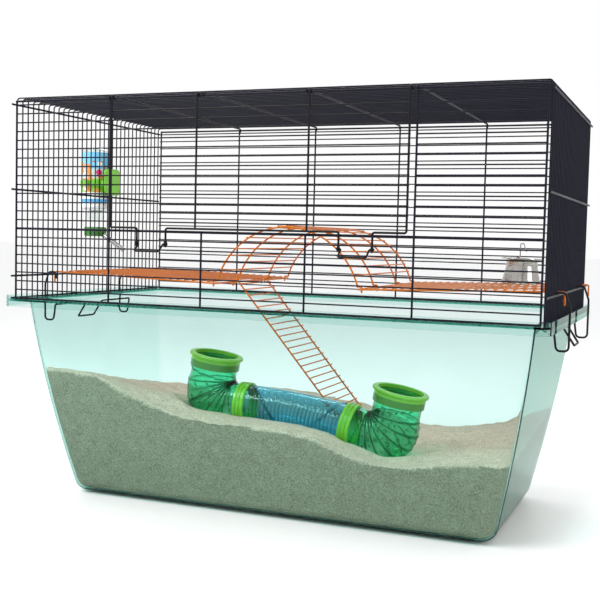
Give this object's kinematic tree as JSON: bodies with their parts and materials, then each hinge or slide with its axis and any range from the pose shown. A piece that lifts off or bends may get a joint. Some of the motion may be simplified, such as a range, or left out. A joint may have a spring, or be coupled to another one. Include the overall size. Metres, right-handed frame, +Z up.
{
  "type": "small animal cage",
  "caption": "Small rodent cage: clear tinted tub with bedding, wire top with a flip-up front door, side clips, wire shelves with an arched bridge and ladder, tunnel, water bottle and food bowl",
  "frame": {"origin": "bottom centre of the whole object's bounding box, on the surface it stands on", "axes": "+Z up, front with the door towards -Y, length along X with the bottle at -X"},
  "size_m": [0.8552, 0.4583, 0.5985],
  "materials": {
    "clear_green": "clear polystyrene with a pale green tint, smooth and glossy",
    "sand": "fine loose sand, pale grey beige, matte",
    "dark_wire": "dark navy grey coated wire, satin",
    "black_wire": "black coated wire, satin",
    "orange_wire": "orange coated wire, satin",
    "green_tube": "translucent teal green plastic, glossy",
    "blue_tube": "translucent blue plastic, glossy",
    "lime_plastic": "opaque lime green plastic, semi-gloss",
    "clear_bottle": "clear plastic, glossy",
    "label": "printed film label, satin, plain pattern",
    "dark_green_plastic": "dark green moulded plastic",
    "steel": "stainless steel",
    "polished_steel": "polished stainless steel",
    "bronze": "bare bronze-coloured metal"
  },
  "bodies": {
    "cage": {"tub": "clear_green", "bedding": "sand", "front_panel": "dark_wire", "back_panel": "dark_wire", "left_panel": "dark_wire", "right_panel": "dark_wire", "roof_panel": "dark_wire", "left_shelf": "orange_wire", "left_elbow": "green_tube", "right_elbow": "green_tube", "middle_tube": "blue_tube", "bottle_holder": "lime_plastic"},
    "door": {"door": "dark_wire"},
    "left_latch": {"left_latch": "dark_wire"},
    "right_latch": {"right_latch": "dark_wire"},
    "left_clip": {"left_clip": "black_wire"},
    "right_clip": {"right_clip": "black_wire"},
    "right_shelf": {"right_shelf": "orange_wire"},
    "bowl": {"food_bowl": "polished_steel", "bowl_hook": "steel"},
    "bridge": {"bridge": "orange_wire"},
    "ladder": {"ladder": "orange_wire"},
    "left_ring": {"left_ring": "lime_plastic"},
    "right_ring": {"right_ring": "lime_plastic"},
    "left_collar": {"left_collar": "lime_plastic"},
    "right_collar": {"right_collar": "lime_plastic"},
    "bottle_cap": {"bottle_cap": "dark_green_plastic", "bottle_spout": "steel"},
    "bottle": {"bottle": "clear_bottle", "bottle_label": "label"},
    "spout_ball": {"spout_ball": "bronze"}
  },
  "joints": [
    {"name": "door_hinge", "type": "hinge", "parent": "cage", "child": "door", "pos_m": [0.0176, -0.2113, 0.592], "axis": [-1, 0, 0], "range_deg": [0, 170]},
    {"name": "left_latch_hinge", "type": "hinge", "parent": "door", "child": "left_latch", "pos_m": [-0.1364, -0.2148, 0.3875], "axis": [-1, 0, 0], "range_deg": [-45, 115]},
    {"name": "right_latch_hinge", "type": "hinge", "parent": "door", "child": "right_latch", "pos_m": [0.1656, -0.2148, 0.3875], "axis": [-1, 0, 0], "range_deg": [-45, 115]},
    {"name": "left_clip_hinge", "type": "hinge", "parent": "cage", "child": "left_clip", "pos_m": [-0.3746, 0.0022, 0.334], "axis": [0, 1, 0], "range_deg": [0, 95]},
    {"name": "right_clip_hinge", "type": "hinge", "parent": "cage", "child": "right_clip", "pos_m": [0.4098, 0.0022, 0.334], "axis": [0, -1, 0], "range_deg": [0, 95]},
    {"name": "right_shelf_pivot", "type": "hinge", "parent": "cage", "child": "right_shelf", "pos_m": [0.4098, 0.0477, 0.334], "axis": [0, -1, 0], "range_deg": [0, 12]},
    {"name": "bowl_lift", "type": "slide", "parent": "right_shelf", "child": "bowl", "axis": [-0.0296, 0, 0.9996], "range_m": [0, 0.05]},
    {"name": "bridge_lift", "type": "slide", "parent": "cage", "child": "bridge", "axis": [0, 0, 1], "range_m": [0, 0.04]},
    {"name": "ladder_hinge", "type": "hinge", "parent": "cage", "child": "ladder", "pos_m": [-0.0964, 0.0322, 0.3295], "axis": [0, -1, 0], "range_deg": [0, 30]},
    {"name": "left_ring_turn", "type": "hinge", "parent": "cage", "child": "left_ring", "pos_m": [-0.0504, -0.0728, 0.148], "axis": [0.9994, 0, -0.0349], "continuous": true},
    {"name": "right_ring_turn", "type": "hinge", "parent": "cage", "child": "right_ring", "pos_m": [0.1166, -0.0728, 0.13], "axis": [0.9816, 0, -0.1908], "continuous": true},
    {"name": "left_collar_turn", "type": "hinge", "parent": "cage", "child": "left_collar", "pos_m": [-0.11186, -0.0728, 0.15015], "axis": [0.1564, 0, 0.9877], "continuous": true},
    {"name": "right_collar_turn", "type": "hinge", "parent": "cage", "child": "right_collar", "pos_m": [0.17893, -0.0728, 0.11788], "axis": [0.1908, 0, 0.9816], "continuous": true},
    {"name": "bottle_lift", "type": "slide", "parent": "cage", "child": "bottle_cap", "axis": [0, 0, 1], "range_m": [0, 0.05]},
    {"name": "bottle_unscrew", "type": "hinge", "parent": "bottle_cap", "child": "bottle", "pos_m": [-0.401, 0.0477, 0.437], "axis": [0, 0, 1], "range_deg": [0, 270]},
    {"name": "ball_valve", "type": "slide", "parent": "bottle_cap", "child": "spout_ball", "axis": [-0.8572, 0, 0.515], "range_m": [0, 0.0012]}
  ]
}
